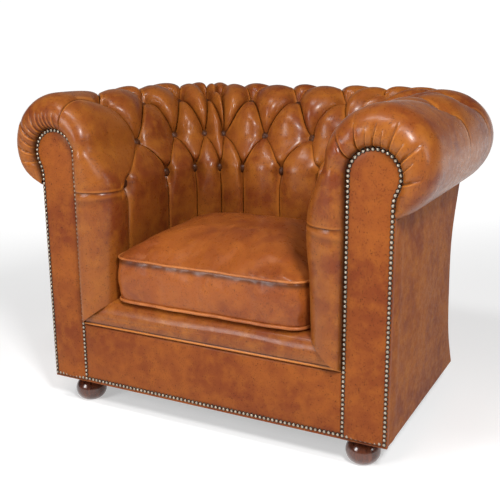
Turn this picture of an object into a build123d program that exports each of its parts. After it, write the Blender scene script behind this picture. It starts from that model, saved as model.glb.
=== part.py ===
"""Deep-buttoned leather club armchair, built as a bench upholsterer would take it apart.

Millimetres. +Z is up, the floor is Z = 0, +Y points to the back of the chair and +X to the
right as seen from the front. Left and right in the names are also as seen from the front.
Depths are measured backwards from the front face of the arm facings.
"""

import math
import os

from build123d import *

# ---------------------------------------------------------------- driving dimensions
overall_height = 768.0
roll_radius = 114.0            # leather roll along the top of the arms and back
roll_centre_out = 139.0        # roll axis, outward from the inside face
arm_inner = 257.0              # inside arm face, from the centre plane
seat_depth = 403.0             # arm facing to inside back face
front_bulge = 25.0             # the roll leather stands proud of the facing
corner_leg = 71.5              # inside corner between arm and back is padded across
outer_corner_out = 75.0        # axis of the outside corner, outward from the inside face

leather_bottom = 65.0          # floor to the lower edge of the leather
frame_bottom = 75.0
pad_bottom = 284.0             # inside arm and inside back start here, at the seat platform
knee_height = 520.0            # inside faces stand straight up to here
knee_radius = 300.0
underside = 545.0              # flat underside of the roll padding
arm_pad = 74.0                 # padding thickness of the inside arm
back_pad = 40.0                # padding thickness of the inside back

facing_inner = 331.0
facing_outer = 434.0
facing_head_x = 389.5
facing_head_z = 629.5
facing_head_radius = 58.5
facing_neck_radius = 60.0
facing_thickness = 14.0

skin = 3.0                     # leather with its lining
gap = 0.3
nail_pitch = 10.2
nail_head_radius = 4.75
nail_margin = 5.3              # nail line, in from the edge of the leather
nail_row_z = 75.5

seam_z = 217.0                 # seam between front border and platform lip
platform_top = 283.5
border_thickness = 14.0

cushion_half_width = 243.0
cushion_front = 6.0
cushion_back = 388.0
cushion_bottom = 284.0
cushion_edge_top = 394.0
cushion_crown_top = 456.0
cushion_front_corner = 42.0
cushion_rear_corner = 100.0    # clears the padding across the inside corners
welt_radius = 4.0

foot_radius = 38.5
foot_height = 73.7
foot_x = 366.0
foot_depths = (52.0, 440.0)
bolt_radius = 4.0
bolt_hole_radius = 4.3

facing_board_depths = (14.3, 36.3)     # plywood behind the facing leather
rail_start = 36.6              # side rails begin behind that plywood
rear_post_depths = (445.3, 467.0)
rear_rail_depths = (467.3, 497.0)
rail_outer = 426.0             # outside of the frame, from the centre plane
panel_seam_x = 430.0           # outside arms wrap round the ends of the outside back here
back_hessian_start = 443.3
dust_cover_z = (73.9, 74.8)
front_rail_top = 246.0
clip_z = (236.0, 253.0)
spring_z = 250.0
spring_wire_radius = 1.8
spring_x = (-240, -120, 0, 120, 240)
platform_x = (-330, 330)
platform_depths = (60.3, 443.0)
platform_levels = (254.6, 256.0, 281.5, platform_top)    # hessian, pad, top cloth

button_radius = 10.0
button_height = 6.0
pocket_radius = 15.0

# buttons: (outward offset, height) of the button seat, the way it faces, and where along
# the arm (depths), across the padded corner (fractions) and along the back (offsets) it sits
button_rows = (
    ((178.0, 712.0), (0.56, 0.83), (235.0, 385.0), (0.37, 0.78), (68.0, 204.0)),
    ((110.0, 714.0), (-0.44, 0.90), (143.0, 325.0), (0.38, 0.82), (0.0, 138.0)),
    ((50.0, 634.0), (-0.95, 0.31), (208.0,), (0.15, 0.8), (68.0, 190.0)),
    ((9.0, 553.0), (-1.0, 0.0), (91.0, 275.0), (0.28,), (0.0, 115.0, 172.0)),
)

roll_centre_z = overall_height - roll_radius
depth_back = seat_depth + roll_centre_out + roll_radius
facing_y = -(depth_back - front_bulge) / 2


# ---------------------------------------------------------------- helpers
def block(x_range, depth_range, z_range):
    """Box between two corners, with depths measured from the facings."""
    size = [high - low for low, high in (x_range, depth_range, z_range)]
    middle = [(high + low) / 2 for low, high in (x_range, depth_range, z_range)]
    return Pos(middle[0], facing_y + middle[1], middle[2]) * Box(*size)


def save(name, shape):
    """Write one sub-part as parts/NAME.step."""
    solids = shape.solids()
    whole = solids[0] if len(solids) == 1 else Compound(children=list(solids))
    whole.label = name
    export_step(whole, f"parts/{name}.step")


def other_side(shape):
    return mirror(shape, about=Plane.YZ)


def save_pair(name, right_shape):
    save(name + "_right", right_shape)
    save(name + "_left", other_side(right_shape))


def run_plane(x, depth, outward):
    """Plane across a run of padding: local x points outward, local y up."""
    angle = math.radians(outward)
    return Plane(
        origin=(x, facing_y + depth, 0),
        x_dir=(math.cos(angle), math.sin(angle), 0),
        z_dir=(math.sin(angle), -math.cos(angle), 0),
    )


# ---------------------------------------------------------------- arm and back padding
def scroll_face(inset, thickness):
    """Cross-section of padding and roll: upright inside face, roll on top, open below it."""
    radius = roll_radius - inset
    dx = roll_centre_out - inset
    dz = roll_centre_z - knee_height
    distance = math.hypot(dx, dz)
    lean = math.atan2(dz, dx) + math.asin(radius / distance)
    reach = math.sqrt(distance**2 - radius**2)
    touch = (inset + reach * math.cos(lean), knee_height + reach * math.sin(lean))
    ease = knee_radius * math.tan((math.pi / 2 - lean) / 2)
    ease_start = (inset, knee_height - ease)
    ease_end = (inset + ease * math.cos(lean), knee_height + ease * math.sin(lean))
    under_out = math.sqrt(radius**2 - (roll_centre_z - underside) ** 2)
    under = (roll_centre_out + under_out, underside)
    outer = (roll_centre_out + radius, roll_centre_z)
    outline = [
        Line((inset, pad_bottom), ease_start),
        TangentArc(ease_start, ease_end, tangent=(0, 1)),
        Line(ease_end, touch),
        ThreePointArc(touch, outer, under),
        Line(under, (thickness, underside)),
        Line((thickness, underside), (thickness, pad_bottom)),
        Line((thickness, pad_bottom), (inset, pad_bottom)),
    ]
    return make_face(outline)


def scroll_run(face, x, depth, outward, length):
    return extrude(run_plane(x, depth, outward) * face, amount=-length)


def corner_turn(face):
    """Outside corner of the roll, turned about the upright corner axis."""
    outer_half = face & Pos(outer_corner_out + 500, 500) * Rectangle(1000, 1000)
    axis_x = arm_inner + outer_corner_out
    axis_depth = seat_depth + outer_corner_out
    placed = run_plane(arm_inner, axis_depth, 0) * outer_half
    axis = Axis((axis_x, facing_y + axis_depth, 0), (0, 0, 1))
    return revolve(placed, axis=axis, revolution_arc=90)


def corner_across(face):
    """Straight run of padding across the inside corner."""
    return scroll_run(face, arm_inner, seat_depth - corner_leg, 45, corner_leg * math.sqrt(2))


mitre = Plane(
    origin=(arm_inner, facing_y + seat_depth, 0), x_dir=(0, 0, 1), z_dir=(1, -1, 0)
)


def keyhole_edges(inset, bottom):
    """Outline of the arm facing: straight post, waisted neck and round head."""
    neck_x = facing_outer + facing_neck_radius
    reach = facing_head_radius + facing_neck_radius
    neck_z = facing_head_z - math.sqrt(reach**2 - (neck_x - facing_head_x) ** 2)
    slope = math.atan2(facing_head_z - neck_z, facing_head_x - neck_x)
    radius = facing_neck_radius + inset
    joint = (neck_x + radius * math.cos(slope), neck_z + radius * math.sin(slope))
    half = (slope + math.pi) / 2
    neck_middle = (neck_x + radius * math.cos(half), neck_z + radius * math.sin(half))
    top = (facing_head_x, facing_head_z + facing_head_radius - inset)
    outer_x = facing_outer - inset
    inner_x = facing_inner + inset
    return [
        Line((outer_x, bottom), (outer_x, neck_z)),
        ThreePointArc((outer_x, neck_z), neck_middle, joint),
        ThreePointArc(joint, top, (inner_x, facing_head_z)),
        Line((inner_x, facing_head_z), (inner_x, bottom)),
    ]


def keyhole_solid(inset, bottom, depth_from, depth_to):
    edges = keyhole_edges(inset, bottom)
    closing = Line((facing_inner + inset, bottom), (facing_outer - inset, bottom))
    face = make_face([*edges, closing])
    return extrude(run_plane(0, depth_from, 0) * face, amount=depth_from - depth_to)


def arm_solid(inset):
    """Right arm padding from the pleated front of the roll to the corner mitre."""
    face = scroll_face(inset, arm_pad)
    start = inset - front_bulge
    length = seat_depth + outer_corner_out - start
    straight = scroll_run(face, arm_inner, start, 0, length)
    front = straight.faces().sort_by(Axis.Y)[0]
    hidden = (pad_bottom, arm_inner + arm_pad)
    rims = [
        edge
        for edge in front.edges()
        if abs(edge.center().Z - hidden[0]) > 1
        and abs(edge.center().X - hidden[1]) > 1
        and not (edge.center().Z < underside + 5 and edge.center().X > hidden[1])
    ]
    straight = fillet(rims, 36.0 - inset)
    body = straight + corner_turn(face) + corner_across(face)
    body = split(body, bisect_by=mitre, keep=Keep.TOP)
    body -= block((0, 600), (seat_depth + back_pad - 3, 900), (0, underside))
    board_back = facing_board_depths[1]
    return body - keyhole_solid(-gap, 200, -front_bulge - 5, board_back + gap)


def back_solid(inset):
    """Right half of the back padding, from the centre plane to the corner mitre."""
    face = scroll_face(inset, back_pad)
    half_width = arm_inner + outer_corner_out
    straight = scroll_run(face, half_width, seat_depth, 90, half_width)
    deep_face = scroll_face(inset, arm_pad)
    body = straight + corner_turn(deep_face) + corner_across(deep_face)
    body = split(body, bisect_by=mitre, keep=Keep.BOTTOM)
    return body - block((0, 600), (seat_depth + back_pad, 900), (0, underside))


# ---------------------------------------------------------------- buttons
def button():
    disc = Pos(0, 0, button_height / 2) * Cylinder(button_radius, button_height)
    return fillet(disc.edges().sort_by(Axis.Z)[-1], 4.0)


def button_seat(x, depth, outward, offset, height, facing):
    """Location of a button seat, local z pointing the way the button faces."""
    angle = math.radians(outward)
    out = (math.cos(angle), math.sin(angle))
    normal = (facing[0] * out[0], facing[0] * out[1], facing[1])
    origin = (x + offset * out[0], facing_y + depth + offset * out[1], height)
    return Plane(origin=origin, x_dir=(-out[1], out[0], 0), z_dir=normal).location


def corner_points(offset):
    """Ends of the run across the padded corner, at one outward offset, as (x, depth)."""
    shift = offset * math.tan(math.radians(22.5))
    at_arm = (arm_inner + offset, seat_depth - corner_leg + shift)
    at_back = (arm_inner - corner_leg + shift, seat_depth + offset)
    return at_arm, at_back


def arm_seats():
    """Button seats of the right arm."""
    seats = []
    for (offset, height), facing, depths, fractions, _ in button_rows:
        for depth in depths:
            seats.append(button_seat(arm_inner, depth, 0, offset, height, facing))
        seats += [corner_seat(offset, height, facing, f) for f in fractions if f < 0.5]
    return seats


def back_seats():
    """Button seats of the right half of the back; those on the centre plane come first."""
    centre, right = [], []
    for (offset, height), facing, _, fractions, across in button_rows:
        for x in across:
            seat = button_seat(x, seat_depth, 90, offset, height, facing)
            (right if x > 0 else centre).append(seat)
        right += [corner_seat(offset, height, facing, f) for f in fractions if f > 0.5]
    return centre, right


def corner_seat(offset, height, facing, fraction):
    at_arm, at_back = corner_points(offset)
    x = at_arm[0] + fraction * (at_back[0] - at_arm[0])
    depth = at_arm[1] + fraction * (at_back[1] - at_arm[1])
    shift = offset / math.sqrt(2)
    return button_seat(x - shift, depth - shift, 45, offset, height, facing)


def pockets(seats):
    """Round wells that the buttons pull into the padding."""
    well = Pos(0, 0, 60) * Cylinder(pocket_radius, 120)
    return [seat * well for seat in seats]


# ---------------------------------------------------------------- nails
def nail():
    """Domed upholstery nail: local z points out of the leather."""
    dome_height = 2.8
    sphere_radius = (nail_head_radius**2 + dome_height**2) / (2 * dome_height)
    ball = Pos(0, 0, dome_height - sphere_radius) * Sphere(sphere_radius)
    head = ball & Pos(0, 0, 10) * Box(20, 20, 20)
    return head + Pos(0, 0, -5) * Cylinder(0.9, 10)


def nail_at(x, z):
    plane = Plane(origin=(x, facing_y, z), x_dir=(1, 0, 0), z_dir=(0, -1, 0))
    return plane.location


def facing_nail_places():
    """Nails up, over and down the right facing, above the bottom row."""
    path = Wire(keyhole_edges(nail_margin, nail_row_z))
    count = round(path.length / nail_pitch)
    points = [path.position_at(step / count) for step in range(1, count)]
    return [nail_at(point.X, point.Y) for point in points]


def bottom_nail_places():
    half = facing_outer - nail_margin
    count = round(2 * half / nail_pitch)
    return [nail_at(-half + 2 * half * step / count, nail_row_z) for step in range(count + 1)]


# ---------------------------------------------------------------- seat parts
def cushion_outline(outset, z):
    """Plan of the cushion at a height, grown outwards by outset."""
    middle = facing_y + (cushion_front + cushion_back) / 2
    length = cushion_back - cushion_front + 2 * outset
    plan = Rectangle(2 * (cushion_half_width + outset), length)
    plan = fillet(plan.vertices().group_by(Axis.Y)[0], cushion_front_corner + outset)
    plan = fillet(plan.vertices().group_by(Axis.Y)[-1], cushion_rear_corner + outset)
    return Pos(0, middle, z) * plan


def cushion_form(inset):
    """Boxed cushion with a crowned top."""
    height = cushion_crown_top - cushion_bottom - 2 * inset
    box = extrude(cushion_outline(-inset, cushion_bottom + inset), amount=height)
    sagitta = cushion_crown_top - cushion_edge_top
    middle = facing_y + (cushion_front + cushion_back) / 2
    for reach, turn in ((cushion_half_width, (90, 0, 0)), (seat_depth / 2, (0, 90, 0))):
        radius = (reach**2 + sagitta**2) / (2 * sagitta)
        barrel = Pos(0, middle, cushion_crown_top - radius) * Rot(*turn)
        box &= barrel * Cylinder(radius - inset, 1400)
    return box


def welt(z):
    """Piped seam round the cushion border."""
    path = cushion_outline(welt_radius + gap, z).faces()[0].outer_wire()
    section = Plane(origin=path @ 0, z_dir=path % 0) * Circle(welt_radius)
    return sweep(section, path=path)


def sinuous_spring(x):
    """Zigzag seat spring, running from the front rail to the back tack rail."""
    reach, step, turns = 20.0, 18.0, 22
    start = 54.0
    edges = []
    for turn in range(turns):
        side = 1 if turn % 2 == 0 else -1
        y = facing_y + start + turn * step
        bar_end = (x + side * reach, y, spring_z)
        edges.append(Line((x - side * reach, y, spring_z), bar_end))
        if turn < turns - 1:
            middle = (x + side * (reach + step / 2), y + step / 2, spring_z)
            next_bar = (x + side * reach, y + step, spring_z)
            edges.append(ThreePointArc(bar_end, middle, next_bar))
    path = Wire(edges)
    section = Plane(origin=path @ 0, z_dir=path % 0) * Circle(spring_wire_radius)
    return sweep(section, path=path)


def bun_foot():
    """Turned bun foot with a flat sole and a short neck."""
    sole, neck, shoulder = 22.0, 24.0, 52.0
    outline = [
        Line((0, 0), (sole, 0)),
        ThreePointArc((sole, 0), (foot_radius, shoulder / 2), (neck, shoulder)),
        Line((neck, shoulder), (neck, foot_height)),
        Line((neck, foot_height), (0, foot_height)),
        Line((0, foot_height), (0, 0)),
    ]
    return revolve(Plane.XZ * make_face(outline), axis=Axis.Z)


# ---------------------------------------------------------------- outside panels
back_curve = ((545.0, 65.0), (507.0, 140.0), (480.0, 290.0), (481.0, 420.0), (532.0, 544.7))


def back_profile(shift, low, high):
    """Upright section between the outside back curve and a line further back."""
    points = [(depth - shift, z) for depth, z in back_curve]
    curve = Spline(*points)
    outline = [
        curve,
        Line(points[-1], (900, high)),
        Line((900, high), (900, low)),
        Line((900, low), points[0]),
    ]
    return make_face(outline)


def behind_back(shift):
    """Everything behind the outside back curve, as a cutting solid."""
    face = back_profile(shift, back_curve[0][1], back_curve[-1][1])
    return extrude(run_plane(600, 0, 90) * face, amount=-1200)


def build_outside():
    thickness = 4.0
    heights = (leather_bottom, back_curve[-1][1])
    seam = panel_seam_x - gap
    panel = block((-seam, seam), (400, 560), heights)
    save("outside_back", panel - behind_back(0) & behind_back(thickness))
    side = block((panel_seam_x, facing_outer), (facing_thickness + gap, 560), heights)
    save_pair("outside_arm", side - behind_back(0))


# ---------------------------------------------------------------- build and write
def build_padding():
    seats = arm_seats()
    wells = pockets(seats)
    shell = arm_solid(0)
    for well in wells:
        shell -= well
    core = arm_solid(skin + gap)
    for well in wells:
        core -= well
    save_pair("inside_arm_cover", shell - arm_solid(skin))
    save_pair("arm_padding", core)
    save_pair("arm_buttons", Compound(children=[seat * button() for seat in seats]))

    centre, right = back_seats()
    half = back_solid(0)
    half_core = back_solid(skin + gap)
    half_inner = back_solid(skin)
    for well in pockets(right + centre):
        half -= well
        half_core -= well
    save("inside_back_cover", (half - half_inner) + other_side(half - half_inner))
    save("back_padding", half_core + other_side(half_core))
    buttons = [seat * button() for seat in right]
    buttons += [other_side(one) for one in buttons]
    buttons += [seat * button() for seat in centre]
    save("back_buttons", Compound(children=buttons))


def build_rails():
    """Beech rails and posts with the hessian tacked over them."""
    front, back = facing_board_depths
    post_start, post_end = rear_post_depths
    rear_start = rear_rail_depths[0]
    top = underside - gap
    save("front_rail", block((-332.7, 332.7), (front, 44.3), (frame_bottom, front_rail_top)))
    save("rear_rail", block((-rail_outer, rail_outer), rear_rail_depths, (frame_bottom, 135)))
    save_pair("side_rail", block((398, rail_outer), (rail_start, rear_start), (frame_bottom, 175)))
    save_pair("arm_front_board", keyhole_solid(4.3, frame_bottom, front, back))
    save_pair("arm_top_rail", block((334, rail_outer), (rail_start, 466), (512, top)))
    save_pair("arm_tack_rail", block((333.6, 356), (rail_start, 443), (236, 276)))
    save_pair("arm_hessian", block((331.6, 333.3), (rail_start + gap, 440), (277, 511.7)))
    save_pair("back_post", block((301, 331), rear_post_depths, (frame_bottom, 505)))
    save("back_top_rail", block((-331, 331), (post_start, 485), (505, top)))
    save("back_tack_rail", block((-300.7, 300.7), rear_post_depths, (206, front_rail_top)))
    save("back_hessian", block((-331, 331), (back_hessian_start, post_start - gap), (286, 504)))


def build_feet():
    """Bun feet bolted through steel plates into corner blocks, and the cloth below the frame."""
    blocks = []
    plates = []
    bolts = []
    cloth_depths = (facing_board_depths[0], rear_rail_depths[1])
    cloth = block((-rail_outer, rail_outer), cloth_depths, dust_cover_z)
    foot = bun_foot() - Pos(0, 0, 60) * Cylinder(bolt_hole_radius, 50.2)
    block_depths = ((rail_start, 100), (402, rear_post_depths[1]))
    for side, side_name in ((-1, "left"), (1, "right")):
        for end in range(2):
            y = facing_y + foot_depths[end]
            x_range = sorted((side * 334, side * 397.7))
            corner = block(x_range, block_depths[end], (frame_bottom + 3, 138))
            blocks.append(corner - Pos(side * foot_x, y, 100) * Cylinder(bolt_hole_radius, 200))
            plate = Pos(side * foot_x, y, frame_bottom + 1.5) * Box(54, 30, 2.9)
            plates.append(plate - Pos(side * foot_x, y, 77) * Cylinder(bolt_hole_radius, 20))
            bolts.append(Pos(side * foot_x, y, 82) * Cylinder(bolt_radius, 90))
            cloth -= Pos(side * foot_x, y, 74) * Cylinder(bolt_hole_radius, 10)
            end_name = ("front", "rear")[end]
            save(f"bun_foot_{end_name}_{side_name}", Pos(side * foot_x, y, 0) * foot)
    save("corner_blocks", Compound(children=blocks))
    save("foot_plates", Compound(children=plates))
    save("foot_bolts", Compound(children=bolts))
    save("dust_cover", cloth)


def build_front():
    save_pair("arm_facing", keyhole_solid(0, leather_bottom, 0, facing_thickness))
    half = facing_inner - gap
    border = block((-half, half), (0, border_thickness), (leather_bottom, seam_z - gap))
    save("front_border", fillet(border.edges().filter_by(Axis.X).group_by(Axis.Y)[0], 4.0))
    lip = block((-half, half), (-5, 60), (seam_z, platform_top))
    front_edges = lip.edges().filter_by(Axis.X).group_by(Axis.Y)[0].sort_by(Axis.Z)
    lip = fillet(front_edges[-1], 36.0)
    lower_edge = lip.edges().filter_by(Axis.X).group_by(Axis.Y)[0].sort_by(Axis.Z)[0]
    lip = fillet(lower_edge, 10.0)
    rail_space = block((-340, 340), (border_thickness, 70), (0, front_rail_top + gap))
    hessian_space = block((-340, 340), (44, 70), (0, 262))
    save("platform_lip", lip - rail_space - hessian_space)
    head = nail()
    nails = Compound(children=[place * head for place in facing_nail_places()])
    save_pair("facing_nails", nails)
    save("bottom_nails", Compound(children=[place * head for place in bottom_nail_places()]))


def build_seat():
    names = ("platform_hessian", "platform_pad", "platform_cloth")
    for name, heights in zip(names, zip(platform_levels, platform_levels[1:])):
        save(name, block(platform_x, platform_depths, heights))
    save("seat_springs", Compound(children=[sinuous_spring(x) for x in spring_x]))
    clips = []
    for x in spring_x:
        for depths in ((44.3, 52), (434, rear_post_depths[0])):
            clips.append(block((x - 24, x + 24), depths, clip_z))
    save("spring_clips", Compound(children=clips))


def build_cushion():
    cover_thickness = 2.5
    save("cushion_cover", cushion_form(0) - cushion_form(cover_thickness))
    save("cushion_core", cushion_form(cover_thickness + gap))
    welts = [welt(cushion_bottom + 7), welt(cushion_edge_top - 1)]
    save("cushion_piping", Compound(children=welts))
    tape = block((-130, 130), (cushion_back + gap, cushion_back + 1.8), (328, 352))
    slider = block((118, 126), (cushion_back + 1.8, cushion_back + 4.2), (334, 346))
    save("cushion_zip", Compound(children=[tape, slider]))


os.makedirs("parts", exist_ok=True)
build_padding()
build_outside()
build_rails()
build_feet()
build_front()
build_seat()
build_cushion()
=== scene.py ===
import math

import bpy
import numpy as np
from mathutils import Matrix, Vector


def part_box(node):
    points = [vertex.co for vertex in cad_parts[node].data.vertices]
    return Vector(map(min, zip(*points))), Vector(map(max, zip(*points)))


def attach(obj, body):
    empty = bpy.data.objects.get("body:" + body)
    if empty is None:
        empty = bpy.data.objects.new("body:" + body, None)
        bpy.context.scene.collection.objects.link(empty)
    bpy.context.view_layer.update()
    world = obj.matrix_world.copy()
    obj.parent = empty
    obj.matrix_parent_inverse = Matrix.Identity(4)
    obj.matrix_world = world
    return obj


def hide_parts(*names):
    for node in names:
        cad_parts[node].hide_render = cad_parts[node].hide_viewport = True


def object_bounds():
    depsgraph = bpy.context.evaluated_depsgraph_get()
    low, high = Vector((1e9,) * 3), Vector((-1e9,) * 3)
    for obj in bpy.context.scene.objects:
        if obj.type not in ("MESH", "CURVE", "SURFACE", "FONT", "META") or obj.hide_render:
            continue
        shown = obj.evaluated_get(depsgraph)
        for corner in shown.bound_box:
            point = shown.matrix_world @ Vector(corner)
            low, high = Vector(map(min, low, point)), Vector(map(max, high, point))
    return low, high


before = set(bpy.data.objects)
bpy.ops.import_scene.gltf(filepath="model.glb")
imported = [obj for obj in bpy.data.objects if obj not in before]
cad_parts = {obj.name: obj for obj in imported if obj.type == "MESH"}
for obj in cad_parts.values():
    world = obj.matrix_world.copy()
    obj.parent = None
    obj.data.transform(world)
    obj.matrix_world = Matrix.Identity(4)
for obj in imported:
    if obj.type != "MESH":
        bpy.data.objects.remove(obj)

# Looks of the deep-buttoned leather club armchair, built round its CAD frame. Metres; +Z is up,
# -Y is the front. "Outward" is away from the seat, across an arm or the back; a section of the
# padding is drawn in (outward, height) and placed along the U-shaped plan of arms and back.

CAD_LOW, CAD_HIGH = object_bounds()
MM = 0.001

# ------------------------------------------------------------------ places taken from the frame
TOP = CAD_HIGH.z
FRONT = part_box("arm_facing_right")[0].y
FACING_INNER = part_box("arm_facing_right")[0].x
FACING_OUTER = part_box("outside_arm_right")[1].x
LEATHER_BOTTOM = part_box("arm_facing_right")[0].z
PLATFORM_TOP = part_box("platform_lip")[1].z
SEAM_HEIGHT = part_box("platform_lip")[0].z
ROLL_RADIUS = 114 * MM
ROLL_CENTRE_OUT = 139 * MM
ARM_INNER = CAD_HIGH.x - ROLL_CENTRE_OUT - ROLL_RADIUS
SEAT_DEPTH = 403 * MM
ROLL_HEIGHT = TOP - ROLL_RADIUS
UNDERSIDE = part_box("outside_arm_right")[1].z
ROLL_START = -25 * MM
INNER_CORNER_RADIUS = 122 * MM
CORNER_GROWTH = 0.2213
FRONT_SEAM_DEPTH = 45 * MM
LEATHER = 2.4 * MM

HEAD_X = 389.5 * MM
HEAD_Z = 629.5 * MM
HEAD_RADIUS = 58.5 * MM
NECK_RADIUS = 60 * MM
NECK_X = FACING_OUTER + NECK_RADIUS
NECK_Z = HEAD_Z - math.sqrt((HEAD_RADIUS + NECK_RADIUS) ** 2 - (NECK_X - HEAD_X) ** 2)
NECK_JOINT = math.atan2(NECK_Z - HEAD_Z, NECK_X - HEAD_X)

AWAY = (-0.463, 0.886, 0.0)    # the way the camera looks, level with the floor
UP = (0.0, 0.0, 1.0)

BODY = "chair"
CUSHION_BODY = "seat_cushion"


# ------------------------------------------------------------------ materials
class Nodes:
    """Short-hand for building the node tree of a material or of the world."""

    def __init__(self, block, output_shader="Principled BSDF", coordinates="Object"):
        block.use_nodes = True
        self.block = block
        self.tree = block.node_tree
        self.shader = self.tree.nodes[output_shader]
        self.place = self.tree.nodes.new("ShaderNodeTexCoord").outputs[coordinates]

    def add(self, kind, **settings):
        node = self.tree.nodes.new("ShaderNode" + kind)
        for key, value in settings.items():
            setattr(node, key, value)
        return node

    def link(self, source, target):
        self.tree.links.new(source, target)

    def set(self, **values):
        for key, value in values.items():
            self.shader.inputs[key.replace("_", " ")].default_value = value

    def stretched(self, scale):
        node = self.add("Mapping")
        node.inputs["Scale"].default_value = scale
        self.link(self.place, node.inputs["Vector"])
        return node.outputs["Vector"]

    def noise(self, scale, detail=3.0, roughness=0.5, vector=None):
        node = self.add("TexNoise")
        node.inputs["Scale"].default_value = scale
        node.inputs["Detail"].default_value = detail
        node.inputs["Roughness"].default_value = roughness
        self.link(vector or self.place, node.inputs["Vector"])
        return node.outputs["Fac"]

    def cells(self, scale):
        node = self.add("TexVoronoi", feature="F1")
        node.inputs["Scale"].default_value = scale
        self.link(self.place, node.inputs["Vector"])
        return node.outputs["Distance"]

    def along(self, direction):
        """How far a place lies along a direction."""
        node = self.add("VectorMath", operation="DOT_PRODUCT")
        self.link(self.place, node.inputs[0])
        node.inputs[1].default_value = direction
        return node.outputs["Value"]

    def remap(self, value, low, high, to_low=0.0, to_high=1.0):
        node = self.add("MapRange", interpolation_type="SMOOTHSTEP")
        limits = {"From Min": low, "From Max": high, "To Min": to_low, "To Max": to_high}
        for key, number in limits.items():
            node.inputs[key].default_value = number
        self.link(value, node.inputs["Value"])
        return node.outputs["Result"]

    def math(self, operation, first, second):
        node = self.add("Math", operation=operation)
        for socket, value in zip(node.inputs, (first, second)):
            if isinstance(value, (int, float)):
                socket.default_value = value
            else:
                self.link(value, socket)
        return node.outputs["Value"]

    def mix(self, factor, first, second):
        node = self.add("Mix", data_type="RGBA")
        self.link(factor, node.inputs["Factor"])
        for socket, value in zip((node.inputs[6], node.inputs[7]), (first, second)):
            if isinstance(value, tuple):
                socket.default_value = (*value, 1.0)
            else:
                self.link(value, socket)
        return node.outputs[2]

    def attribute(self, name):
        return self.add("Attribute", attribute_name=name).outputs["Fac"]

    def bump(self, *layers):
        """Bump layers of (height, strength, distance), coarse ones first."""
        normal = None
        for height, strength, distance in layers:
            node = self.add("Bump")
            node.inputs["Strength"].default_value = strength
            node.inputs["Distance"].default_value = distance
            self.link(height, node.inputs["Height"])
            if normal is not None:
                self.link(normal, node.inputs["Normal"])
            normal = node.outputs["Normal"]
        self.link(normal, self.shader.inputs["Normal"])

    def finish(self, colour, roughness=None):
        self.link(colour, self.shader.inputs["Base Color"])
        if roughness is not None:
            self.link(roughness, self.shader.inputs["Roughness"])
        return self.block


def leather(name, base, dark, light, gloss=(0.26, 0.40), shine=0.20, coat=0.10):
    """Antiqued hide: cloudy colour, dark pores, painted highlights on the pleat edges and painted
    shade in the hollows.

    Meshes carry the last two, painted highlight and painted shade, as attributes of their points."""
    n = Nodes(bpy.data.materials.new(name))
    clouds = n.remap(n.noise(7.0, 3.0, 0.6), 0.36, 0.68)
    patches = n.remap(n.noise(34.0, 4.0, 0.6), 0.38, 0.72, 0.0, 0.55)
    colour = n.mix(clouds, base, dark)
    colour = n.mix(patches, colour, light)
    flecks = n.noise(360.0, 2.0, 0.7, n.stretched((1.0, 1.0, 0.75)))
    blotches = n.noise(60.0, 2.0, 0.5)
    pores = n.remap(flecks, 0.54, 0.70, 0.0, 0.85)
    pores = n.math("MULTIPLY", pores, n.remap(blotches, 0.35, 0.65, 0.25, 1.0))
    colour = n.mix(pores, colour, tuple(0.26 * c for c in dark))
    # painted highlight: pleat edges lightened as if they caught the light
    colour = n.mix(n.attribute("rub"), colour, tuple(min(1.0, 1.55 * c) for c in light))
    # painted shade: near black where the leather folds into hollows and wells
    colour = n.mix(n.attribute("recess"), colour, (0.012, 0.004, 0.002))
    grain = n.cells(620.0)
    creases = n.noise(150.0, 4.0, 0.65)
    folds = n.noise(26.0, 2.0, 0.5)
    n.bump((folds, 0.14, 5 * MM), (creases, 0.12, 1.0 * MM), (grain, 0.10, 0.4 * MM))
    n.set(Specular_IOR_Level=shine, Coat_Weight=coat, Coat_Roughness=0.16)
    roughness = n.remap(n.noise(90.0, 3.0, 0.6), 0.3, 0.7, *gloss)
    return n.finish(colour, roughness)


def wood(name, dark, light, gloss, scale, coat):
    n = Nodes(bpy.data.materials.new(name))
    rings = n.noise(scale, 5.0, 0.65, n.stretched((1.0, 1.0, 0.16)))
    pores = n.noise(scale * 7.0, 2.0, 0.5, n.stretched((1.0, 1.0, 0.06)))
    colour = n.mix(n.remap(rings, 0.34, 0.66), dark, light)
    colour = n.mix(n.remap(pores, 0.6, 0.78, 0.0, 0.5), colour, tuple(0.4 * c for c in dark))
    n.bump((pores, 0.08, 0.4 * MM))
    n.set(Coat_Weight=coat, Coat_Roughness=0.06)
    return n.finish(colour, n.remap(rings, 0.3, 0.7, *gloss))


def woven(name, dark, light, threads, sheen):
    """Plain weave: two crossed thread waves, uneven in thickness."""
    n = Nodes(bpy.data.materials.new(name))
    warp = n.add("TexWave", bands_direction="X")
    weft = n.add("TexWave", bands_direction="Y")
    for wave in (warp, weft):
        wave.inputs["Scale"].default_value = threads
        wave.inputs["Distortion"].default_value = 1.2
        n.link(n.place, wave.inputs["Vector"])
    weave = n.math("MULTIPLY", warp.outputs["Fac"], weft.outputs["Fac"])
    slubs = n.noise(threads * 0.8, 3.0)
    colour = n.mix(n.math("MULTIPLY", weave, slubs), dark, light)
    n.bump((weave, 0.5, 0.6 * MM))
    n.set(Sheen_Weight=sheen, Sheen_Roughness=0.5)
    return n.finish(colour, n.remap(slubs, 0.3, 0.7, 0.75, 0.95))


def foam(name, dark, light):
    n = Nodes(bpy.data.materials.new(name))
    bubbles = n.cells(900.0)
    stains = n.noise(12.0, 3.0)
    colour = n.mix(n.remap(stains, 0.3, 0.7), dark, light)
    n.bump((bubbles, 0.6, 0.8 * MM))
    return n.finish(colour, n.remap(bubbles, 0.0, 0.6, 0.8, 1.0))


def metal(name, bright, dull, gloss):
    n = Nodes(bpy.data.materials.new(name))
    wear = n.noise(260.0, 4.0, 0.6)
    colour = n.mix(n.remap(wear, 0.35, 0.65), dull, bright)
    n.bump((wear, 0.1, 0.2 * MM))
    n.set(Metallic=1.0)
    return n.finish(colour, n.remap(wear, 0.3, 0.7, *gloss))


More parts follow.
